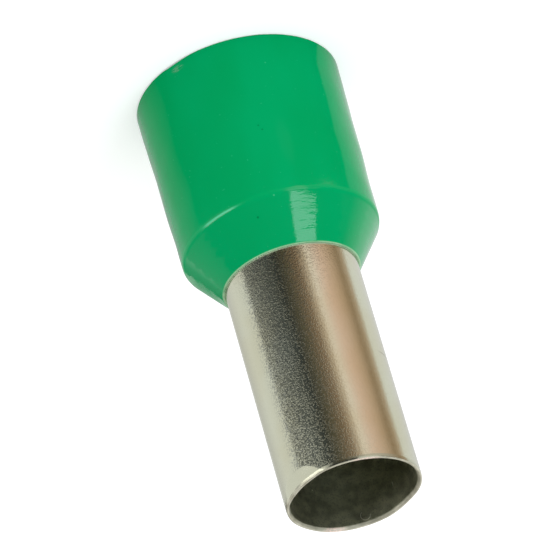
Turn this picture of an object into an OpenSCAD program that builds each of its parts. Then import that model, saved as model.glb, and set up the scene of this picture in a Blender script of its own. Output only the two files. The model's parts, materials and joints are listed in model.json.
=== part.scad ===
// Insulated wire ferrule: a thin metal sleeve held in a moulded plastic collar.
// A stripped wire goes in through the collar's wide mouth. Its strands glide down the
// funnel into the sleeve, and its insulation ends inside the collar.
// +Z runs along the axis. The origin is the centre of the collar's mouth.

/* [Metal sleeve] */
// Bore diameter of the sleeve, which takes the bare strands
strand_bore_d = 5.8; // [4:0.1:6.4]
// Wall thickness of the sleeve
sleeve_wall = 0.2; // [0.15:0.05:0.4]
// Length of sleeve that stands out of the collar
sleeve_out = 11.4; // [6:0.2:20]
// Bend radius of the trumpet that the sleeve's inner end is flared to
flare_bend = 6; // [4:0.5:8]
// Angle from the axis that the trumpet opens to at its edge
flare_angle = 30; // [15:1:35]
// Length over which the outside curls in at the free end
tip_curl = 0.45; // [0.3:0.05:0.8]
// Width of the flat edge left at the free end
tip_land = 0.05; // [0.03:0.01:0.1]

/* [Plastic collar] */
// Bore diameter of the collar, which takes the insulated wire
wire_bore_d = 8.7; // [8.2:0.1:11]
// Wall thickness of the collar at its mouth
collar_wall = 0.46; // [0.3:0.02:0.8]
// Length of the whole collar
collar_len = 10.3; // [8:0.1:14]
// Draft angle that narrows the collar's outside from its mouth to its shoulder
collar_draft = 1.25; // [0:0.05:1.6]
// Length of the cone that closes the collar down to the sleeve
cone_len = 2; // [1.2:0.1:3]
// Rounding radius of the shoulder where that cone starts
shoulder_round = 0.35; // [0.1:0.05:0.6]
// Width of the rim that is left around the sleeve
rim_w = 0.1; // [0.08:0.01:0.4]
// Rounding radius of that rim's outer edge
rim_round = 0.1; // [0.04:0.01:0.14]
// Length of the rim's straight bore, before the trumpet's seat opens
rim_land = 0.1; // [0.05:0.01:0.15]
// Angle from the axis of the funnel that leads the strands into the trumpet
funnel_angle = 45; // [40:1:60]
// Rounding radius of the mouth's outer edge
mouth_round = 0.1; // [0.05:0.01:0.12]
// Chamfer of the mouth's inner edge, which guides the wire in
mouth_chamfer = 0.1; // [0.05:0.01:0.12]

/* [Fit] */
// Clearance between the sleeve's outside and the collar
sleeve_fit = 0.01; // [0.005:0.005:0.05]

/* [Hidden] */
$fn = 96;

// A rounding disc is this much oversize, so that it crosses its edges cleanly
round_over = 0.0005;

// Sleeve: its radii, its free end and the height where its trumpet starts
bore_r = strand_bore_d / 2;
sleeve_r = bore_r + sleeve_wall;
tip_z = collar_len + sleeve_out;
curl_z = tip_z - tip_curl;
flare_z = collar_len - rim_land;

// The trumpet bends about a point that lies outside the sleeve
bend_centre = [sleeve_r + flare_bend, flare_z];
inner_bend = flare_bend + sleeve_wall;

// The free end curls in by the wall less its flat edge, on one arc
curl_in = sleeve_wall - tip_land;
curl_r = (tip_curl ^ 2 + curl_in ^ 2) / (2 * curl_in);

// Collar: the radii and heights of its outline
wire_bore_r = wire_bore_d / 2;
mouth_r = wire_bore_r + collar_wall;
shoulder_z = collar_len - cone_len;
shoulder_r = mouth_r - shoulder_z * tan(collar_draft);
neck_r = sleeve_r + sleeve_fit;
rim_r = neck_r + rim_w;

// The seat bends about the trumpet's own centre, and the funnel ends at its edge
seat_bend = flare_bend - sleeve_fit;
seat_edge = about_bend(seat_bend, flare_angle);
funnel_z = seat_edge[1] - (wire_bore_r - seat_edge[0]) / tan(funnel_angle);

// Point at a distance from the bend's centre, at an angle round it from the start
function about_bend(distance, angle) =
    bend_centre - distance * [cos(angle), sin(angle)];

function unit(v) = v / norm(v);

// What rounding corner b takes off, between its neighbours a and c, and some air
module corner_waste(a, b, c, r) {
    u = unit(a - b);
    v = unit(c - b);
    centre = b + unit(u + v) * r / sqrt((1 - u * v) / 2);
    to_a = b + u * ((centre - b) * u) - centre;
    to_c = b + v * ((centre - b) * v) - centre;
    translate(centre)
        difference() {
            polygon([[0, 0], 2 * to_a, 2 * (to_a + to_c), 2 * to_c]);
            circle(r + round_over);
        }
}

// Outline through corners, each given as [x, y, rounding radius]
module rounded_outline(corners) {
    n = len(corners);
    xy = [for (c = corners) [c[0], c[1]]];
    difference() {
        polygon(xy);
        for (i = [0 : n - 1])
            if (corners[i][2] > 0)
                corner_waste(xy[(i + n - 1) % n], xy[i], xy[(i + 1) % n], corners[i][2]);
    }
}

// Section of the sleeve's trumpet: a stretch of ring about the bend's centre
module trumpet_section() {
    reach = 2 * inner_bend;
    intersection() {
        translate(bend_centre)
            difference() {
                circle(inner_bend);
                circle(flare_bend);
            }
        polygon([bend_centre, about_bend(reach, 0), about_bend(reach, flare_angle)]);
    }
}

// Section of the sleeve's free end, where the outside curls in towards the bore
module tip_section() {
    intersection() {
        translate([bore_r, curl_z]) square([sleeve_wall, tip_curl]);
        translate([sleeve_r - curl_r, curl_z]) circle(curl_r);
    }
}

// Thin tinned tube, flared at its inner end and curled in at its free end
module metal_sleeve() {
    color([0.74, 0.72, 0.65])
        rotate_extrude() {
            translate([bore_r, flare_z]) square([sleeve_wall, curl_z - flare_z]);
            trumpet_section();
            tip_section();
        }
}

// Section of the lip that the trumpet hugs: a disc about the trumpet's own bend, from
// the rim's bore down to the funnel
module seat_section() {
    funnel_top = funnel_z + (wire_bore_r - bore_r) / tan(funnel_angle);
    intersection() {
        translate(bend_centre) circle(seat_bend);
        polygon([
            [bore_r, flare_z],
            [neck_r, flare_z],
            [wire_bore_r, funnel_z],
            [bore_r, funnel_top]
        ]);
    }
}

// Moulded collar: a wide wire bore, a funnel, the trumpet's seat and a thin rim
module insulating_collar() {
    color([0.0, 0.64, 0.37])
        rotate_extrude() {
            rounded_outline([
                [wire_bore_r + mouth_chamfer, 0, 0],
                [mouth_r, 0, mouth_round],
                [shoulder_r, shoulder_z, shoulder_round],
                [rim_r, collar_len, rim_round],
                [neck_r, collar_len, 0],
                [neck_r, flare_z, 0],
                [wire_bore_r, funnel_z, 0],
                [wire_bore_r, mouth_chamfer, 0]
            ]);
            seat_section();
        }
}

metal_sleeve();
insulating_collar();
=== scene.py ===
# %% [markdown]
# # Insulated wire ferrule
# A ferrule is crimped on the end of a stranded wire, so that a screw terminal holds
# all its strands. This one has two pieces: a thin tinned copper sleeve, and the green
# plastic collar that grips it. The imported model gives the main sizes. This lesson
# rebuilds both pieces as fine lathe-turned meshes and gives each its real finish.

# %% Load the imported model
import json
import math

import bmesh
import bpy
from mathutils import Matrix, Vector, noise


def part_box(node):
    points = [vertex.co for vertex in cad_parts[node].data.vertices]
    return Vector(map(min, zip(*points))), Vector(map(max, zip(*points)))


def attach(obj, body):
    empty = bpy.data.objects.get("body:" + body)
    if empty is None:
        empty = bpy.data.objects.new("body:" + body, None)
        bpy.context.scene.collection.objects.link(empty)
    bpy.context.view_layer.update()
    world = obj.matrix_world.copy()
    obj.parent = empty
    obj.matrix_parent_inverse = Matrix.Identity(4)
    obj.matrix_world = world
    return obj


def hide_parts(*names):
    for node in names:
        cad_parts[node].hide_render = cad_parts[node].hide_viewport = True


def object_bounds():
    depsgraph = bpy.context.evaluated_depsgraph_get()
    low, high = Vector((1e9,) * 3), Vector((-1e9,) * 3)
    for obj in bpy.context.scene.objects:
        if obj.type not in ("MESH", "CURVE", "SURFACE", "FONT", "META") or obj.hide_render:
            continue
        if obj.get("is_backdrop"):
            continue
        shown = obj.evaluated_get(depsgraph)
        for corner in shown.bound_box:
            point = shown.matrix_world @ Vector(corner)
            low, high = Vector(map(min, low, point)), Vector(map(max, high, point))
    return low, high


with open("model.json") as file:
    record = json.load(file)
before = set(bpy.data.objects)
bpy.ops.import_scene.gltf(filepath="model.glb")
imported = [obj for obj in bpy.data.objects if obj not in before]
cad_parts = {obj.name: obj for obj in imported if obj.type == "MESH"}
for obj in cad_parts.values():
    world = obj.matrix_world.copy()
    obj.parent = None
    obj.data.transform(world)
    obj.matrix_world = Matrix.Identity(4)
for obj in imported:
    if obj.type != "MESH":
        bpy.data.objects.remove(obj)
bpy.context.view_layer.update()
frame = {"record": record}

# %% [markdown]
# ## Sizes
# Blender's unit is the metre, and a ferrule is small, so sizes are written in
# millimetres and turned to metres once. The bores and the barrel come from the mounts
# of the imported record, and the heights and the mouth from the boxes of its two nodes.
# What neither can tell, such as a wall's draft or a rounding, is named where it is used.

# %% Driving sizes
MM = 0.001


def mount_radius(name):
    """Radius in millimetres of a bore or a pin that the record measures."""
    return next(m["dims"]["r_mm"] for m in frame["record"]["mounts"] if m["name"] == name)


bore_r = mount_radius("strand_bore")
sleeve_r = mount_radius("crimp_barrel")
wire_bore_r = mount_radius("wire_entry")
sleeve_wall = sleeve_r - bore_r
sleeve_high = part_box("metal_sleeve")[1]
collar_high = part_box("insulating_collar")[1]
tip_z = sleeve_high.z / MM
mouth_r = collar_high.x / MM
collar_top = collar_high.z / MM
print(f"sleeve {2 * sleeve_r:.1f} mm round, wall {sleeve_wall:.2f} mm, tip at {tip_z:.1f} mm")
print(f"collar {2 * mouth_r:.2f} mm round at its mouth, top at {collar_top:.1f} mm")

# %% [markdown]
# ## Camera
# The ferrule stands on its mouth, and the camera looks down on it from 30 degrees, from
# some 20 cm away. It should seem to lie askew, with its free end below, so the camera is
# rolled by nearly half a turn and the part stays upright. A long lens at that distance
# keeps the tube's two sides almost parallel, as a close-up lens does.

# %% Place the camera
camera_elevation = math.radians(29.58)
camera_roll = math.radians(163.81)
camera_distance = 210 * MM
field_width = 25.316 * MM
aim_sideways = -0.544 * MM
aim_upward = 0.038 * MM

lens = bpy.data.cameras.new("camera")
lens.sensor_width = 36
lens.lens = lens.sensor_width * camera_distance / field_width
lens.clip_start = 0.01
lens.clip_end = 5
camera = bpy.data.objects.new("camera", lens)
camera.matrix_world = (
    Matrix.Translation((0, 0, collar_top * MM))
    @ Matrix.Rotation(math.radians(90) - camera_elevation, 4, "X")
    @ Matrix.Rotation(camera_roll, 4, "Z")
    @ Matrix.Translation((aim_sideways, aim_upward, camera_distance))
)
bpy.context.scene.collection.objects.link(camera)
bpy.context.scene.camera = camera
bpy.context.scene.view_settings.view_transform = "Standard"
print(f"lens {lens.lens:.0f} mm at {camera_distance / MM:.0f} mm")

# %% [markdown]
# ## Three small helpers
# Colours are written as the hex values of a colour chart, which are sRGB. Shaders want
# linear light, so one function turns them. Every shader node is added by one function
# too: it makes the node, sets what it is given and joins what it is given. Each material
# starts empty, so that it holds only the nodes that its finish needs.

# %% Colour and node helpers


def linear(hex_colour):
    """Linear RGBA of an sRGB hex colour."""
    values = [int(hex_colour[i:i + 2], 16) / 255 for i in (1, 3, 5)]
    return [v / 12.92 if v <= 0.04045 else ((v + 0.055) / 1.055) ** 2.4 for v in values] + [1]


def add_node(tree, kind, inputs=None, **settings):
    """Adds a node. inputs maps a socket's name or number to a value or an output."""
    made = tree.nodes.new(kind)
    for name, value in settings.items():
        setattr(made, name, value)
    for name, value in (inputs or {}).items():
        if isinstance(value, bpy.types.NodeSocket):
            tree.links.new(value, made.inputs[name])
        else:
            made.inputs[name].default_value = value
    return made


def empty_material(name):
    """A new material without nodes, and its node tree."""
    material = bpy.data.materials.new(name)
    material.use_nodes = True
    material.node_tree.nodes.clear()
    return material, material.node_tree


print("middle grey #808080 is", round(linear("#808080")[0], 3), "in linear light")

# %% [markdown]
# ## Floor and soft light
# A white table under an even white sky lights the part softly from all round, and one
# softbox adds direction. Seen directly or in a reflection, the table is shown a little
# brighter than its own shading, so that it reads as clean white and still keeps the
# part's shadow.

# %% Floor and sky
floor_gap = 0.02 * MM
floor_radius = 1.0
table_tone = "#F4F4F4"
table_lift = 0.25
sky_tone = "#FFFFFF"
sky_strength = 1.0


def seen_directly(tree):
    """1 for rays from the camera, from a mirror or through glass, and 0 for the rest."""
    path = add_node(tree, "ShaderNodeLightPath")
    either = add_node(tree, "ShaderNodeMath", {0: path.outputs["Is Camera Ray"],
                      1: path.outputs["Is Glossy Ray"]}, operation="MAXIMUM")
    return add_node(tree, "ShaderNodeMath", {0: either.outputs[0],
                    1: path.outputs["Is Transmission Ray"]}, operation="MAXIMUM").outputs[0]


def link_mesh(name, bm, material):
    """Makes an object of a bmesh and puts it in the scene, at the origin."""
    mesh = bpy.data.meshes.new(name)
    bm.to_mesh(mesh)
    bm.free()
    mesh.materials.append(material)
    made = bpy.data.objects.new(name, mesh)
    bpy.context.scene.collection.objects.link(made)
    return made


table_white, tree = empty_material("white_table")
surface = add_node(tree, "ShaderNodeBsdfDiffuse", {"Color": linear(table_tone)})
lift = add_node(tree, "ShaderNodeMath", {0: seen_directly(tree), 1: table_lift},
                operation="MULTIPLY")
glow = add_node(tree, "ShaderNodeEmission", {"Strength": lift.outputs[0]})
both = add_node(tree, "ShaderNodeAddShader", {0: surface.outputs[0], 1: glow.outputs[0]})
add_node(tree, "ShaderNodeOutputMaterial", {"Surface": both.outputs[0]})

bm = bmesh.new()
bmesh.ops.create_circle(bm, cap_ends=True, segments=64, radius=floor_radius)
bmesh.ops.translate(bm, verts=bm.verts, vec=(0, 0, -floor_gap))
floor = link_mesh("floor", bm, table_white)
floor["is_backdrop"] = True

world = bpy.data.worlds.new("soft_sky")
bpy.context.scene.world = world
world.use_nodes = True
sky = world.node_tree.nodes["Background"]
sky.inputs["Color"].default_value = linear(sky_tone)
sky.inputs["Strength"].default_value = sky_strength
print("floor and sky are in place")

# %% Softbox and fill
softbox_azimuth = 42
softbox_elevation = 37.5
softbox_distance = 85 * MM


def area_light(name, width, height, radiance, hex_colour):
    """A rectangular lamp of a plain radiance, on the softbox's side of the part."""
    light = bpy.data.lights.new(name, "AREA")
    light.shape = "RECTANGLE"
    light.size = width * MM
    light.size_y = height * MM
    light.energy = radiance * math.pi * light.size * light.size_y
    light.color = linear(hex_colour)[:3]
    lamp = bpy.data.objects.new(name, light)
    lamp.matrix_world = (
        Matrix.Translation((0, 0, collar_top * MM))
        @ Matrix.Rotation(math.radians(-softbox_azimuth), 4, "Z")
        @ Matrix.Rotation(math.radians(90 - softbox_elevation), 4, "X")
        @ Matrix.Translation((0, 0, softbox_distance))
    )
    bpy.context.scene.collection.objects.link(lamp)
    return lamp


area_light("softbox", width=40, height=17, radiance=3.6, hex_colour="#E8F6FF")
fill = area_light("fill", width=50, height=50, radiance=1.6, hex_colour="#DCF0FF")
# The fill lights the part and shows in no reflection
fill.visible_glossy = False
print("softbox and fill stand", softbox_azimuth, "degrees round from the camera")

# %% [markdown]
# ## Cards for the reflections
# A bright metal tube has no shade of its own: it shows what stands round it. On a bare
# white table the sleeve would be cream all over. In a studio, cards are laid on the
# table just out of view, and the tube mirrors them as long bands. The wall mirrors the
# table as if seen from a point about two thirds of its radius in front of the axis, so
# each card's tones run out from there and its bands come out straight. Mirrors alone see
# the cards, so they neither shade the table nor show to the camera.

# %% Helpers for cards
# Cards lie between the floor and the part's foot, each at its own height
card_gap = 0.004
card_steps = 96


def mirrors_only(thing):
    """Stage gear that shows in reflections and nowhere else."""
    thing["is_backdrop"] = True
    thing.visible_camera = False
    thing.visible_diffuse = False
    thing.visible_transmission = False
    thing.visible_shadow = False
    return thing


def sweep(name, outline, centre_y, material):
    """Sweeps an outline of (radius, height) points all round an axis at centre_y."""
    bm = bmesh.new()
    line = [bm.verts.new((0, r * MM, z * MM)) for r, z in outline]
    edges = [bm.edges.new(pair) for pair in zip(line, line[1:])]
    bmesh.ops.spin(bm, geom=line + edges, cent=(0, 0, 0), axis=(0, 0, 1), dvec=(0, 0, 0),
                   angle=math.tau, steps=card_steps)
    bmesh.ops.translate(bm, verts=bm.verts, vec=(0, centre_y * MM, 0))
    return mirrors_only(link_mesh(name, bm, material))


def graded_card(name, centre_y, strength, stops):
    """A card whose tone changes round centre_y, from stops of degrees and hex colour."""
    # Degree 0 points to the camera, plus degrees run towards +X, and 180 is at the back
    material, tree = empty_material(name)
    where = add_node(tree, "ShaderNodeTexCoord").outputs["Object"]
    turned = add_node(tree, "ShaderNodeMapping", {"Vector": where,
                      "Location": (0, centre_y * MM, 0), "Rotation": (0, 0, math.radians(-90))},
                      vector_type="TEXTURE")
    share = add_node(tree, "ShaderNodeTexGradient", {"Vector": turned.outputs[0]},
                     gradient_type="RADIAL")
    ramp = add_node(tree, "ShaderNodeValToRGB", {"Fac": share.outputs["Fac"]})
    elements = ramp.color_ramp.elements
    while len(elements) < len(stops):
        elements.new(1.0)
    for element, (degrees, hex_colour) in zip(elements, stops):
        element.position = 0.5 + degrees / 360
        element.color = linear(hex_colour)
    # The card glows by emission: its tones are the light and shade that the part mirrors
    shown = add_node(tree, "ShaderNodeEmission", {"Color": ramp.outputs["Color"],
                     "Strength": strength})
    add_node(tree, "ShaderNodeOutputMaterial", {"Surface": shown.outputs[0]})
    return material


print("cards are swept in", card_steps, "steps")

# %% Lay the cards
focus_share = 0.7
sleeve_focus = -focus_share * sleeve_r
collar_focus = -focus_share * mouth_r
near_inside, near_outside = 0.2, 19.5
band_inside, band_outside = 18.9, 52

# The near card is dark, so that the collar's front shows its own green. Its grey left side is a
# painted shadow of the part on the table, for the collar's left edge to mirror
near_tones = graded_card("near_card", collar_focus, strength=1.0, stops=[
    (-180, "#F4F4F4"), (-150, "#F0F0F0"), (-125, "#C8C8C8"), (-104, "#909090"),
    (-103, "#080808"), (90, "#080808"), (91, "#424242"), (108, "#969696"),
    (128, "#BCBCBC"), (180, "#B8B8B8"),
])
# The sleeve's bands, from right to left as seen: cream, tan, pink, brown, dark and cream
band_tones = graded_card("sleeve_card", sleeve_focus, strength=1.45, stops=[
    (-180, "#CCCCCC"), (-160, "#C6C6C6"), (-144, "#DADADA"), (-126, "#E8E8E8"),
    (-113, "#EEEEEE"), (-110, "#D8D0C8"), (-104, "#C2AB97"), (-92, "#A08870"),
    (-76, "#D4B5A0"), (-58, "#F0CEC0"), (-46, "#F6DED6"), (-41, "#F8E8E0"),
    (-36, "#F8E8E0"), (-31, "#D4C0B0"), (-18, "#907866"), (2, "#625C4E"),
    (20, "#3A3E40"), (44, "#666A6C"), (80, "#949492"), (82, "#EBEBEB"),
    (116, "#EBEBEB"), (136, "#D4D4D2"), (144, "#C4C4C0"), (156, "#C0C0BC"),
    (180, "#CCCCCC"),
])
near_height, band_height = -2 * card_gap, -card_gap
sweep("near_card", [(near_inside, near_height), (near_outside, near_height)],
      collar_focus, near_tones)
sweep("sleeve_card", [(band_inside, band_height), (band_outside, band_height)],
      sleeve_focus, band_tones)
print("cards reach out to", band_outside, "mm")

# %% [markdown]
# ## Drapes
# The cone, the rim and the curled tip lean up, so they mirror what stands round the
# cards. Drapes hang there in three heights, each toned for what mirrors it. They glow
# by emission, so their white parts are light panels that the part mirrors as highlights.

# %% Hang the drapes
drape_radius = 75
drape_heights = (-card_gap, 14, 38, 140)

ground_tones = graded_card("ground_drape", 0, strength=1.2, stops=[
    (-180, "#E8E8E8"), (-113, "#EEEEEE"), (-105, "#C8B4A0"), (-92, "#B09880"),
    (-60, "#D8D0C8"), (-35, "#E8E0D8"), (-18, "#A09890"), (2, "#605848"),
    (16, "#50504C"), (36, "#FFFFFF"), (118, "#FFFFFF"), (134, "#808080"),
    (150, "#484848"), (180, "#484848"),
])
low_tones = graded_card("low_drape", 0, strength=2.5, stops=[
    (-180, "#A2A2A2"), (-136, "#A4A4A4"), (-126, "#A0A0A0"), (-114, "#828282"),
    (-100, "#303030"), (-60, "#303030"), (-54, "#B0B0B0"), (-24, "#B0B0B0"),
    (-18, "#303030"), (24, "#303030"), (42, "#FFFFFF"), (72, "#FFFFFF"),
    (88, "#484848"), (104, "#606060"), (136, "#707070"), (180, "#585858"),
])
high_tones = graded_card("high_drape", 0, strength=1.0, stops=[
    (-180, "#F0F0F0"), (-140, "#ECECEC"), (-128, "#E0E0E0"), (-114, "#A8A8A8"),
    (-98, "#303030"), (-94, "#080808"), (90, "#080808"), (100, "#606060"),
    (115, "#949494"), (136, "#9C9C9C"), (180, "#787878"),
])
low, middle, high, top = drape_heights
for name, outline, tones in (
    ("ground_drape", [(band_outside, low), (drape_radius, low), (drape_radius, middle)],
     ground_tones),
    ("low_drape", [(drape_radius, middle), (drape_radius, high)], low_tones),
    ("high_drape", [(drape_radius, high), (drape_radius, top)], high_tones),
):
    sweep(name, outline, 0, tones)
print("drapes hang", drape_radius, "mm from the axis, up to", top, "mm")

# %% [markdown]
# ## A lathe
# Both pieces are round, so each is drawn as half a section and spun about the axis. The
# outline is drawn with two pen moves: a straight line, which extrudes the last point,
# and an arc, which spins it about a centre. Corners that a tool would round are
# bevelled after the spin, by an offset worked out from the radius and the corner's turn.

# %% Pen and lathe
lathe_steps = 256
merge_distance = 1e-4 * MM
ring_tolerance = 1e-3 * MM


def start_at(bm, x, z):
    """The outline's first point."""
    return bm.verts.new((x * MM, 0, z * MM))


def line_to(bm, point, x, z):
    """Extrudes the last point to (x, z)."""
    end = bmesh.ops.extrude_vert_indiv(bm, verts=[point])["verts"][0]
    end.co = (x * MM, 0, z * MM)
    return end


def arc_to(bm, point, x, z, degrees, steps):
    """Spins the last point about the centre (x, z). Plus degrees turn +X towards -Z."""
    made = bmesh.ops.spin(bm, geom=[point], cent=(x * MM, 0, z * MM), axis=(0, 1, 0),
                          dvec=(0, 0, 0), angle=math.radians(degrees), steps=steps)
    return made["geom_last"][0]


def turn_on_lathe(bm, first, last):
    """Closes the outline and spins it a full turn about the part's axis."""
    bm.edges.new((last, first))
    bmesh.ops.spin(bm, geom=bm.verts[:] + bm.edges[:], cent=(0, 0, 0), axis=(0, 0, 1),
                   dvec=(0, 0, 0), angle=math.tau, steps=lathe_steps, use_merge=True)
    bmesh.ops.remove_doubles(bm, verts=bm.verts, dist=merge_distance)
    bmesh.ops.recalc_face_normals(bm, faces=bm.faces)


def is_at(vertex, x, z):
    """True if a vertex lies on the ring of radius x at height z."""
    return (abs(vertex.co.xy.length - x * MM) < ring_tolerance
            and abs(vertex.co.z - z * MM) < ring_tolerance)


def round_corner(bm, x, z, radius, segments):
    """Rounds the ring at (x, z) to a radius, and gives the degrees that it turned."""
    ring = [e for e in bm.edges if all(is_at(v, x, z) for v in e.verts)]
    turn = abs(ring[0].calc_face_angle())
    bmesh.ops.bevel(bm, geom=ring, offset=radius * MM * math.tan(turn / 2), affect="EDGES",
                    segments=segments, profile=0.5, material=-1, clamp_overlap=True)
    return math.degrees(turn)


print("the lathe turns a piece in", lathe_steps, "steps")

# %% [markdown]
# ## Metal sleeve
# On the real part this is a length of thin tube, drawn, cut and tinned. Its inner end
# is flared to a trumpet that the strands slide down. The cut curls its free end in a
# little, rounds the outer edge to a small nose and leaves the inner edge broken to a
# slope. The inner wall is part of the outline, so the tube has its true thickness from
# the start and needs no Solidify.

# %% Work out the tip
nose_r = 0.06
nose_inset = 0.02
broken_angle = 28
curl_bend = 0.4
curl_angle = 9.5


def on_circle(x, z, radius, degrees):
    """The point of a circle about (x, z) that lies at an angle above the outward side."""
    return (x + radius * math.cos(math.radians(degrees)),
            z + radius * math.sin(math.radians(degrees)))


# Inside, the broken edge slopes from the nose down to the bore
nose_x, nose_z = sleeve_r - nose_inset - nose_r, tip_z - nose_r
inner_side = on_circle(nose_x, nose_z, nose_r, 180 - broken_angle)
broken_z = inner_side[1] - (inner_side[0] - bore_r) / math.tan(math.radians(broken_angle))
# Outside, a straight stretch leans from the nose to the bend, where the curl starts
nose_side = on_circle(nose_x, nose_z, nose_r, curl_angle)
bend_in = curl_bend * (1 - math.cos(math.radians(curl_angle)))
lean = (sleeve_r - bend_in - nose_side[0]) / math.tan(math.radians(curl_angle))
curl_z = nose_side[1] - lean - curl_bend * math.sin(math.radians(curl_angle))
print(f"the curl starts {tip_z - curl_z:.2f} mm below the tip")

# %% Draw and turn the sleeve
flare_bend = 6.0
flare_angle = 30
flare_steps = 12
rim_land = 0.1
flare_z = collar_top - rim_land
bend_x = sleeve_r + flare_bend
inner_bend = flare_bend + sleeve_wall

bm = bmesh.new()
first = start_at(bm, sleeve_r, flare_z)
point = arc_to(bm, first, bend_x, flare_z, -flare_angle, flare_steps)
point = line_to(bm, point, *on_circle(bend_x, flare_z, -inner_bend, flare_angle))
point = arc_to(bm, point, bend_x, flare_z, flare_angle, flare_steps)
point = line_to(bm, point, bore_r, broken_z)
point = line_to(bm, point, *inner_side)
point = arc_to(bm, point, nose_x, nose_z, 180 - broken_angle - curl_angle, steps=10)
point = line_to(bm, point, *on_circle(sleeve_r - curl_bend, curl_z, curl_bend, curl_angle))
last = arc_to(bm, point, sleeve_r - curl_bend, curl_z, curl_angle, steps=8)
turn_on_lathe(bm, first, last)
print("turned sleeve:", len(bm.faces), "faces")

# %% [markdown]
# ## What the cut leaves
# The shear that cuts the tube leaves its end a little uneven, presses one side of it in
# further than the rest, and leaves a hair-thin curl of metal on the far edge. All of
# these catch the light, so they are built. Rings are cut near the tip so that the wall
# can bend, and then each vertex near the tip is moved by where it lies round the axis.

# %% Helpers that bend a wall


def cut_at_height(bm, z):
    """Cuts a ring of edges round the whole piece at a height."""
    bmesh.ops.bisect_plane(bm, geom=bm.verts[:] + bm.edges[:] + bm.faces[:],
                           plane_co=(0, 0, z * MM), plane_no=(0, 0, 1),
                           dist=merge_distance)


def shift_outward(vertex, distance):
    """Moves a vertex away from the part's axis, in millimetres."""
    vertex.co.xy += vertex.co.xy.normalized() * distance * MM


def eased(value, low, high):
    """0 up to low, 1 from high on, and a smooth step between."""
    t = min(1, max(0, (value - low) / (high - low)))
    return t * t * (3 - 2 * t)


def side_of(vertex):
    """Degrees round the axis from the camera's side, plus towards +X."""
    return math.degrees(math.atan2(vertex.co.x, -vertex.co.y))


print("an eased step is", eased(0.25, 0, 1), "at a quarter of its way")

# %% Cut the tip unevenly and press one side
ring_step = 0.05
ring_start = 0.02
ring_margin = 0.1
press_slope = 0.12
press_depth = 0.9
press_from, press_full = 16, 38
press_until, press_gone = 55, 85
cut_front_low = 0.2
# Dips of the edge: the side in degrees, the half width in degrees and the depth
cut_dips = ((-130, 30, 0.08), (125, 25, 0.03))
# The cut's unevenness fades out between these distances below the tip
cut_fade_end, cut_fade_start = 1.0, 0.25

for k in range(int((press_depth + ring_margin) / ring_step)):
    cut_at_height(bm, broken_z - ring_start - k * ring_step)
for v in bm.verts:
    side = side_of(v)
    pressed = eased(side, press_from, press_full) * (1 - eased(side, press_until, press_gone))
    depth = v.co.z / MM - (tip_z - press_depth * pressed)
    if pressed > 0 and depth > 0:
        shift_outward(v, -press_slope * depth)
    lower = cut_front_low * (1 + math.cos(math.radians(side))) / 2
    lower += sum(d * (1 - eased(abs(side - c), 0, w)) for c, w, d in cut_dips)
    v.co.z -= lower * MM * eased(v.co.z / MM, tip_z - cut_fade_end, tip_z - cut_fade_start)
print("the front of the tip is cut", cut_front_low, "mm lower than its back")

# %% [markdown]
# ## Burr
# The curl of metal on the far edge is a tiny circle spun round part of a larger one. One
# side of it sinks into the bore's wall, since it is the same piece of metal, so it joins
# the sleeve's mesh.

# %% Add the burr
burr_wire_r = 0.013
burr_curl_r = 0.22
burr_turn = 235
burr_x = -0.22
burr_inset = 0.028
burr_drop = 0.44

burr = bmesh.new()
bmesh.ops.create_circle(burr, cap_ends=False, segments=8, radius=burr_wire_r * MM)
burr_centre = Vector((burr_x, bore_r - burr_inset, tip_z - burr_drop)) * MM
bmesh.ops.translate(burr, verts=burr.verts, vec=burr_centre + Vector((-burr_curl_r * MM, 0, 0)))
bmesh.ops.spin(burr, geom=burr.verts[:] + burr.edges[:], cent=burr_centre, axis=(0, 1, 0),
               dvec=(0, 0, 0), angle=math.radians(burr_turn), steps=28)
bmesh.ops.holes_fill(burr, edges=[e for e in burr.edges if e.is_boundary], sides=0)
bmesh.ops.recalc_face_normals(burr, faces=burr.faces)
burr_mesh = bpy.data.meshes.new("burr")
burr.to_mesh(burr_mesh)
burr.free()
bm.from_mesh(burr_mesh)
bpy.data.meshes.remove(burr_mesh)

for face in bm.faces:
    face.smooth = True
print("sleeve:", len(bm.faces), "faces, height", round(max(v.co.z for v in bm.verts) / MM, 2))
sleeve_bm = bm

# %% [markdown]
# ## Plastic collar
# The collar is one moulding, so it is one outline too: a drafted wall, a cone down to
# the thin rim that grips the sleeve, and inside it the seat, the funnel and the wide
# bore for the wire. The rim's bore is drawn almost on the sleeve, as the real one's is
# pressed on it, because a gap would show as a dark ring.

# %% Draw and turn the collar
mouth_round = 0.045
mouth_chamfer = 0.1
shoulder_round = 0.35
collar_draft = 1.25
cone_len = 2.0
rim_w = 0.1
rim_round = 0.098
sleeve_fit = 0.01
grip_gap = 0.001
shoulder_z = collar_top - cone_len
shoulder_r = mouth_r - shoulder_z * math.tan(math.radians(collar_draft))
neck_r = sleeve_r + grip_gap
rim_r = sleeve_r + sleeve_fit + rim_w
# The funnel's 45 degrees make its length the same as its width
seat_edge = on_circle(bend_x, flare_z, sleeve_fit - flare_bend, flare_angle)
funnel_z = seat_edge[1] - (wire_bore_r - seat_edge[0])

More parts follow.
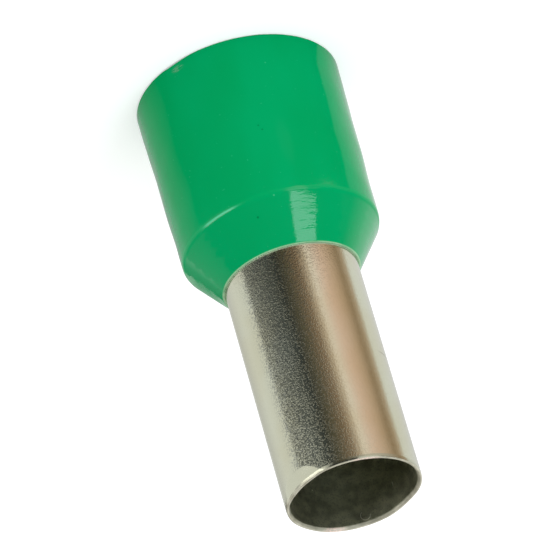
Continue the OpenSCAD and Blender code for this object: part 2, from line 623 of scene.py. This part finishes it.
bm = bmesh.new()
first = start_at(bm, wire_bore_r + mouth_chamfer, 0)
point = line_to(bm, first, mouth_r, 0)
point = line_to(bm, point, shoulder_r, shoulder_z)
point = line_to(bm, point, rim_r, collar_top)
point = line_to(bm, point, neck_r, collar_top)
point = line_to(bm, point, neck_r, flare_z)
point = arc_to(bm, point, bend_x, flare_z, -flare_angle, flare_steps)
point = line_to(bm, point, wire_bore_r, funnel_z)
last = line_to(bm, point, wire_bore_r, mouth_chamfer)
turn_on_lathe(bm, first, last)
mouth_turn = round_corner(bm, mouth_r, 0, mouth_round, segments=6)
shoulder_turn = round_corner(bm, shoulder_r, shoulder_z, shoulder_round, segments=8)
rim_turn = round_corner(bm, rim_r, collar_top, rim_round, segments=6)
print("corners turn by", [round(t) for t in (mouth_turn, shoulder_turn, rim_turn)], "degrees")

# %% [markdown]
# ## What the mould and the tool leave
# A mould is never a perfect cone. The wall shrinks by some hundredths of a millimetre
# here and there as it cools, which no gauge minds but every reflection shows, and the
# cone keeps the fine rings of the lathe tool that cut the mould. The mouth's edge is
# nicked where something has scraped it. All three are too small to draw, so the long
# faces are cut into rings, and the rings' vertices are moved: in or out by noise, and up
# at the nick.

# %% Cut the wall and the cone into rings
wall_rings = 40
cone_rings = 72
# The wall's rings end this far below the shoulder, just before its rounding
below_shoulder = 0.13


def cut_rings(bm, shortest, longest, cuts):
    """Cuts the edges whose length lies between two, in millimetres."""
    bmesh.ops.subdivide_edges(bm, edges=[e for e in bm.edges if shortest * MM
                              < e.calc_length() < longest * MM], cuts=cuts)


# Only the cone's edges are 1.6 to 3 mm long, and only the outer wall's are 7 to 9 mm
cut_at_height(bm, shoulder_z - below_shoulder)
cut_rings(bm, 1.6, 3, cone_rings)
cut_rings(bm, 7, 9, wall_rings)
print("collar with its rings:", len(bm.faces), "faces")

# %% Make the wall uneven, turn the cone and nick the mouth
# A vertex further out than this is on the collar's outside
outside_r = wire_bore_r + 0.2
wall_wave = 0.035
wall_wave_length = 2.0
wall_ripple = 0.009
wall_ripple_length = 0.9
ring_depth = 0.0055
ring_pitch = 0.25
ring_length = 5.0
ring_fade = 0.3
nick_depth = 0.05
nick_height = 0.4
nick_from, nick_full = 16, 30
nick_until, nick_gone = 33, 41

for v in bm.verts:
    x, y, z = v.co / MM
    if math.hypot(x, y) > outside_r and z < shoulder_z:
        inside = max(0, min(1, z, shoulder_z - z))
        wave = wall_wave * noise.noise(Vector((x, y, z)) / wall_wave_length)
        ripple = wall_ripple * noise.noise(Vector((x, y, z)) / wall_ripple_length)
        shift_outward(v, inside * (wave + ripple))
    elif shoulder_z < z < collar_top and math.hypot(x, y) > rim_r:
        inside = max(0, min(1, (z - shoulder_z) / ring_fade, (collar_top - z) / ring_fade))
        ring = noise.noise(Vector((x / ring_length, y / ring_length, z / ring_pitch)))
        shift_outward(v, ring_depth * inside * ring)
for v in bm.verts:
    side = side_of(v)
    if v.co.z < nick_height * MM and v.co.xy.length > outside_r * MM:
        nicked = eased(side, nick_from, nick_full) * (1 - eased(side, nick_until, nick_gone))
        v.co.z += nick_depth * MM * nicked
for face in bm.faces:
    face.smooth = True
print("the wall is uneven by up to", round(wall_wave + wall_ripple, 3), "mm")
collar_bm = bm

# %% [markdown]
# ## Helpers for finishes
# Both finishes read Object coordinates, turned to millimetres, so that each pattern's
# scale is one over its real size. Masks run from 0 to 1, and are joined by taking the
# greater one or by multiplying.

# %% Coordinates, noise and masks


def in_millimetres(tree, stretch=(1, 1, 1)):
    """Object coordinates in millimetres, stretched where a pattern runs one way."""
    where = add_node(tree, "ShaderNodeTexCoord").outputs["Object"]
    return add_node(tree, "ShaderNodeMapping", {"Vector": where,
                    "Scale": [k / MM for k in stretch]}).outputs[0]


def noise_of_size(tree, where, size, detail=2.0):
    """Noise whose cells are about size millimetres across, from 0 to 1."""
    return add_node(tree, "ShaderNodeTexNoise", {"Vector": where, "Scale": 1 / size,
                    "Detail": detail}).outputs["Fac"]


def between(tree, value, low, high, to_low=0.0, to_high=1.0):
    """Maps a range of values smoothly to another one."""
    return add_node(tree, "ShaderNodeMapRange", {"Value": value, "From Min": low,
                    "From Max": high, "To Min": to_low, "To Max": to_high},
                    interpolation_type="SMOOTHSTEP").outputs[0]


def greater(tree, first, second):
    """The greater of two values."""
    return add_node(tree, "ShaderNodeMath", {0: first, 1: second},
                    operation="MAXIMUM").outputs[0]


def times(tree, value, factor):
    """A value times a number or another value."""
    return add_node(tree, "ShaderNodeMath", {0: value, 1: factor},
                    operation="MULTIPLY").outputs[0]


print("1 millimetre of the part is", round(0.001 / MM), "unit of a pattern")

# %% [markdown]
# ## Spots, colours and relief
# A spot is a soft ellipsoid round a point: it places a scuff, a scratch or a pale edge
# without any painted image. A mix lays one colour over another by a mask, and a bump
# turns a mask to relief of a real depth.

# %% Spots, colours and relief
spot_core = 0.4


def spots(tree, where, places):
    """1 near any of the places and 0 away from them. A place is a centre and a size."""
    best = None
    for centre, size in places:
        away = add_node(tree, "ShaderNodeVectorMath", {0: where, 1: centre},
                        operation="SUBTRACT").outputs[0]
        share = add_node(tree, "ShaderNodeVectorMath", {0: away, 1: size}, operation="DIVIDE")
        length = add_node(tree, "ShaderNodeVectorMath", {0: share.outputs[0]},
                          operation="LENGTH").outputs["Value"]
        near = between(tree, length, spot_core, 1.0, 1.0, 0.0)
        best = near if best is None else greater(tree, best, near)
    return best


def mixed(tree, share, first_colour, second_colour):
    """The first colour, and by its share the second."""
    first, second = (
        colour if isinstance(colour, bpy.types.NodeSocket) else linear(colour)
        for colour in (first_colour, second_colour)
    )
    return add_node(tree, "ShaderNodeMix", {"Factor": share, "A": first, "B": second},
                    data_type="RGBA").outputs["Result"]


def bumped(tree, height, depth, normal=None):
    """A normal that follows a height from 0 to 1, at a real depth in millimetres."""
    made = add_node(tree, "ShaderNodeBump", {"Height": height, "Distance": depth * MM})
    if normal:
        tree.links.new(normal, made.inputs["Normal"])
    return made.outputs[0]


print("a spot is full out to", spot_core, "of its size")

# %% [markdown]
# ## Tinned copper
# Tin goes on the drawn tube from a bath. It is a warm silver, a little yellow from the
# copper under it, and sets as fine grains, some smooth and some frosted. Where the tube
# mirrors something dark, the frosted grains pick up the light around and sparkle. Where
# it mirrors the white table they vanish, so the grain is in the roughness, and not in
# the colour. One side is pitted, and its pits are painted a dark blue-grey where the
# tube mirrors the dark card, partly as a painted dark reflection. Inside, the tube is
# dull. The cut lip is matt, with pale pink spots of bared copper that are also painted
# highlights. A pale ring is painted round the tin right above the collar's rim, as
# painted light over the shade where the rim meets the sleeve.

# %% Tinned copper: where each thing is
tinned, tree = empty_material("tinned_copper_drawn")
where = in_millimetres(tree)
height = add_node(tree, "ShaderNodeSeparateXYZ", {"Vector": where}).outputs["Z"]
radius = add_node(tree, "ShaderNodeVectorMath", {0: in_millimetres(tree, (1, 1, 0))},
                  operation="LENGTH").outputs["Value"]
normal = add_node(tree, "ShaderNodeTexCoord").outputs["Normal"]
upward = add_node(tree, "ShaderNodeSeparateXYZ", {"Vector": normal}).outputs["Z"]

outside = between(tree, radius, bore_r + 0.01, bore_r + 0.05)
# The cut is what faces up near the tip. The pressed side leans too little to count
cut = times(tree, between(tree, upward, 0.22, 0.36),
            between(tree, height, tip_z - 1.0, tip_z - 0.8))
# A pale ring painted on the tin just above the rim: painted light over the shade where the rim
# meets the sleeve
painted_seam_light = times(tree, outside, between(tree, height, collar_top + 0.02, collar_top + 0.06, 1.0, 0.0))
burr_spot = spots(tree, where, [((burr_x, bore_r - 0.01, tip_z - burr_drop), (0.5, 0.2, 0.5))])
burr_metal = times(tree, burr_spot,
                   between(tree, radius, bore_r - 0.006, bore_r - 0.003, 1.0, 0.0))
scratches = spots(tree, where, [((-2.95, -0.85, 15.7), (0.5, 0.8, 0.035))])
flecks = spots(tree, where, [
    ((1.75, 2.32, 19.6), (0.05, 0.05, 0.05)), ((-1.77, 2.3, 20.4), (0.05, 0.08, 0.14)),
])
# Spots of bared copper on the lip, whose pale pink is also a painted highlight
copper_and_glint_spots = spots(tree, where, [
    ((1.3, 2.7, 21.65), (0.8, 0.5, 0.3)), ((-1.0, -2.9, 21.55), (0.95, 0.5, 0.4)),
])
frosted = spots(tree, where, [((1.05, -3.0, 16), (2.2, 1.3, 30))])
# Where the tube mirrors the dark card, its pits are painted darker, partly as a painted dark
# reflection
dark_band_spot = spots(tree, where, [((1.75, -2.7, 16), (1.2, 1.0, 30))])
print("tinned copper has", len(tree.nodes), "nodes for its places")

# %% Tinned copper: patterns
# Real grains and pits are about 0.05 mm. They are drawn half as coarse again, because
# finer ones would blur away
grain_size = 0.075
pit_size = 0.07
cloud_size = 2.5
blotch_size = 0.5
glint_size = 0.1
turn_mark_size = 0.25

grain = noise_of_size(tree, where, grain_size, detail=1.0)
islands = times(tree, between(tree, grain, 0.46, 0.62), between(tree, frosted, 0, 1, 0.4, 1.0))
islands = times(tree, islands, between(tree, upward, 0.03, 0.10, 1.0, 0.3))
pits = noise_of_size(tree, where, pit_size, detail=1.0)
pits_and_dark_reflection = times(tree, between(tree, pits, 0.45, 0.65), dark_band_spot)
pits_and_dark_reflection = times(tree, pits_and_dark_reflection, between(tree, upward, 0.03, 0.10, 1.0, 0.0))
clouds = between(tree, noise_of_size(tree, where, cloud_size), 0.35, 0.65)
blotches = between(tree, noise_of_size(tree, where, blotch_size, detail=3.0), 0.3, 0.7)
glints = times(tree, copper_and_glint_spots, between(tree, noise_of_size(tree, where, glint_size),
                                          0.35, 0.6, 0.4, 1.0))
# Faint marks run round the tube, so their noise is drawn out sideways
turn_marks = noise_of_size(tree, in_millimetres(tree, (0.15, 0.15, 1)), turn_mark_size,
                           detail=3.0)
print("tinned copper grains are", grain_size, "mm across")

# %% Tinned copper: colour, frost and relief
tin_tone = "#B3B5A2"
tin_warm_tone = "#B1B19B"
seam_light_tone = "#DCDCC8"
scratch_tone = "#706C5C"
pit_reflection_tone = "#5C6064"
bore_tone = "#C8C8AC"
bore_dull_tone = "#A0A088"
bore_grain_tone = "#707060"
shiny_tone = "#FFFFF0"
cut_tone = "#D2CEB9"
cut_dull_tone = "#B4B09A"
copper_glint_tone = "#F4DCCC"

tone = mixed(tree, clouds, tin_tone, tin_warm_tone)
# Painted light: the pale ring over the shade above the collar's rim
tone = mixed(tree, times(tree, painted_seam_light, 0.9), tone, seam_light_tone)
tone = mixed(tree, times(tree, scratches, 0.5), tone, scratch_tone)
inner_tone = mixed(tree, blotches, bore_tone, bore_dull_tone)
inner_grain = times(tree, between(tree, grain, 0.5, 0.7), 0.35)
inner_tone = mixed(tree, inner_grain, inner_tone, bore_grain_tone)
inner_tone = mixed(tree, greater(tree, flecks, burr_metal), inner_tone, shiny_tone)
tone = mixed(tree, outside, inner_tone, tone)
# Painted highlight: pale pink spots on the lip, partly bared copper
lip_tone = mixed(tree, glints, mixed(tree, blotches, cut_tone, cut_dull_tone), copper_glint_tone)
tone = mixed(tree, cut, tone, lip_tone)
# Painted dark reflection: the pits, painted dark blue-grey where the tube mirrors the dark card
tone = mixed(tree, times(tree, pits_and_dark_reflection, 0.6), tone, pit_reflection_tone)

matt = greater(tree, cut, painted_seam_light)
frost = between(tree, islands, 0, 1, 0.10, 0.38)
frost = greater(tree, frost, between(tree, outside, 0, 1, 0.6, 0))
frost = greater(tree, frost, times(tree, matt, 0.42))
frost = greater(tree, frost, times(tree, scratches, 0.4))
relief = bumped(tree, turn_marks, 0.0014)
relief = bumped(tree, islands, 0.0028, relief)
shader = add_node(tree, "ShaderNodeBsdfPrincipled", {"Base Color": tone,
                  "Metallic": between(tree, matt, 0, 1, 1.0, 0.5), "Roughness": frost,
                  "Normal": relief})
add_node(tree, "ShaderNodeOutputMaterial", {"Surface": shader.outputs[0]})
print("tinned copper has", len(tree.nodes), "nodes")

# %% [markdown]
# ## Green polypropylene
# The collar is injection moulded in a strong green. The mould's own polish makes it
# semi-gloss: it mirrors the table along its edges. Its colour drifts a little with the
# flow, a few pits and specks are moulded in, the tool's rings catch the light on the
# cone, and the thin rim that grips the sleeve is painted paler along its edge, in
# patches. The cone is painted a darker green, as painted shade that holds its upturned
# face as dark as the wall, and a light green painted highlight lies on the crease's
# crest at the left. Handling has worn the shine off the shoulder's crease, apart from two
# places, and off the cone's left side, and has scuffed the mouth.

# %% Green polypropylene: where each thing is
green, tree = empty_material("green_polypropylene_moulded")
where = in_millimetres(tree)
height = add_node(tree, "ShaderNodeSeparateXYZ", {"Vector": where}).outputs["Z"]

on_cone = between(tree, height, shoulder_z - 0.1, shoulder_z + 0.1)
# The thin rim is painted paler along its edge
rim = between(tree, height, collar_top - 0.04, collar_top - 0.01, 0.0, 0.85)
crease = times(tree, between(tree, height, shoulder_z - 0.22, shoulder_z - 0.08),
               between(tree, height, shoulder_z + 0.08, shoulder_z + 0.22, 1.0, 0.0))
crest = times(tree, between(tree, height, shoulder_z - 0.06, shoulder_z - 0.01),
              between(tree, height, shoulder_z + 0.01, shoulder_z + 0.06, 1.0, 0.0))
left_crease = ((2.4, -3.93, 8.3), (1.5, 1.0, 0.5))
middle_crease = ((-1.3, -4.44, 8.38), (0.9, 0.6, 0.28))
polished = spots(tree, where, [left_crease, middle_crease])
# A light green painted highlight on the crest of the crease at the left
crease_highlight = times(tree, spots(tree, where, [left_crease]), crest)
dulled = spots(tree, where, [((3.8, 1.3, 9.2), (1.6, 2.2, 1.8))])
turned = spots(tree, where, [((-1.2, -3.7, 9.3), (2.0, 1.2, 2.0))])
haze = spots(tree, where, [((-1.46, -4.45, 5.8), (0.45, 0.45, 1.6))])
scuffs = spots(tree, where, [((2.3, -4.2, 0.36), (0.5, 0.3, 0.2))])
pale_specks = spots(tree, where, [
    ((-0.28, -4.55, 8.4), (0.06, 0.06, 0.06)), ((-1.59, -4.50, 1.55), (0.05, 0.05, 0.05)),
])
pits = spots(tree, where, [
    ((0.68, -4.08, 9.0), (0.07, 0.07, 0.07)), ((-0.49, -4.68, 4.75), (0.05, 0.05, 0.05)),
    ((-0.61, -4.66, 5.0), (0.05, 0.05, 0.05)),
])
print("green polypropylene has", len(tree.nodes), "nodes for its places")

# %% Green polypropylene: patterns
# A moulded skin's texture is about 0.02 mm and its dust finer still. Both are drawn
# several times as coarse, so that they show
skin_size = 0.15
dust_size = 0.09
flow_size = 3.0
streak_size = 0.14
ring_mark_size = 0.15
rim_patch_size = 1.2

flow = noise_of_size(tree, in_millimetres(tree, (1, 1, 0.4)), flow_size)
flow = between(tree, flow, 0.35, 0.65)
skin = noise_of_size(tree, where, skin_size, detail=3.0)
dust = between(tree, noise_of_size(tree, where, dust_size, detail=0.0), 0.845, 0.88)
streaks = noise_of_size(tree, in_millimetres(tree, (0.6, 0.6, 3)), streak_size, detail=3.0)
scraped = times(tree, scuffs, between(tree, streaks, 0.38, 0.62))
marks = noise_of_size(tree, in_millimetres(tree, (0.2, 0.2, 1)), ring_mark_size, detail=3.0)
rim_patches = noise_of_size(tree, where, rim_patch_size)
rim = times(tree, rim, between(tree, rim_patches, 0.35, 0.6, 0.55, 1.0))
print("green polypropylene flows in patches of", flow_size, "mm")

# %% Green polypropylene: colour, gloss and relief
green_tone = "#00A05F"
green_deep_tone = "#009C59"
# The cone's darker green is painted shade for its upturned face
cone_shade_tone = "#009458"
crease_highlight_tone = "#38DCA4"
pale_tone = "#48B884"
scuff_tone = "#8AA090"
pit_tone = "#006838"
rim_tone = "#A8CFA4"

tone = mixed(tree, flow, green_tone, green_deep_tone)
# Painted highlight: light green on the crease's crest at the left
tone = mixed(tree, times(tree, crease_highlight, 0.6), tone, crease_highlight_tone)
# Painted shade: the upturned cone is painted a darker green
tone = mixed(tree, times(tree, on_cone, 0.5), tone, cone_shade_tone)
tone = mixed(tree, times(tree, haze, 0.04), tone, pale_tone)
tone = mixed(tree, times(tree, scraped, 0.5), tone, scuff_tone)
tone = mixed(tree, times(tree, greater(tree, pale_specks, dust), 0.6), tone, pale_tone)
tone = mixed(tree, times(tree, pits, 0.8), tone, pit_tone)
# The thin rim, painted paler along its edge, in patches
tone = mixed(tree, rim, tone, rim_tone)

gloss = between(tree, skin, 0.3, 0.7, 0.06, 0.10)
gloss = greater(tree, gloss, times(tree, scraped, 0.5))
gloss = greater(tree, gloss, times(tree, dulled, 0.3))
worn = times(tree, crease, between(tree, polished, 0, 1, 1.0, 0.0))
shine = add_node(tree, "ShaderNodeMath", {
    0: between(tree, greater(tree, worn, dulled), 0, 1, 0.5, 0.12),
    1: times(tree, times(tree, crease, polished), 0.1)}, operation="ADD").outputs[0]
relief = bumped(tree, times(tree, times(tree, marks, on_cone), turned), 0.009)
relief = bumped(tree, skin, 0.0006, relief)
shader = add_node(tree, "ShaderNodeBsdfPrincipled", {"Base Color": tone, "IOR": 1.49,
                  "Roughness": gloss, "Specular IOR Level": shine, "Normal": relief})
add_node(tree, "ShaderNodeOutputMaterial", {"Surface": shader.outputs[0]})
print("green polypropylene has", len(tree.nodes), "nodes")

# %% [markdown]
# ## Put the pieces on the part
# Each mesh becomes one object at the origin. It takes the place of its plain node of the
# imported model, which is hidden, and rides on the part's one body.

# %% Put the pieces on the part
for name, bm, material, node, slot in (
    ("sleeve", sleeve_bm, tinned, "metal_sleeve", "tinned_copper"),
    ("collar", collar_bm, green, "insulating_collar", "green_plastic"),
):
    piece = link_mesh(name, bm, material)
    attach(piece, "root")
    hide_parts(node)
    print(name, "replaces", node)

# %% [markdown]
# ## The dressed part's box
# The dressed part should be as large as the imported one, so its box is printed.

# %% Print the dressed part's box
low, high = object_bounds()
print("scene box", [round(v / MM, 3) for v in high - low])
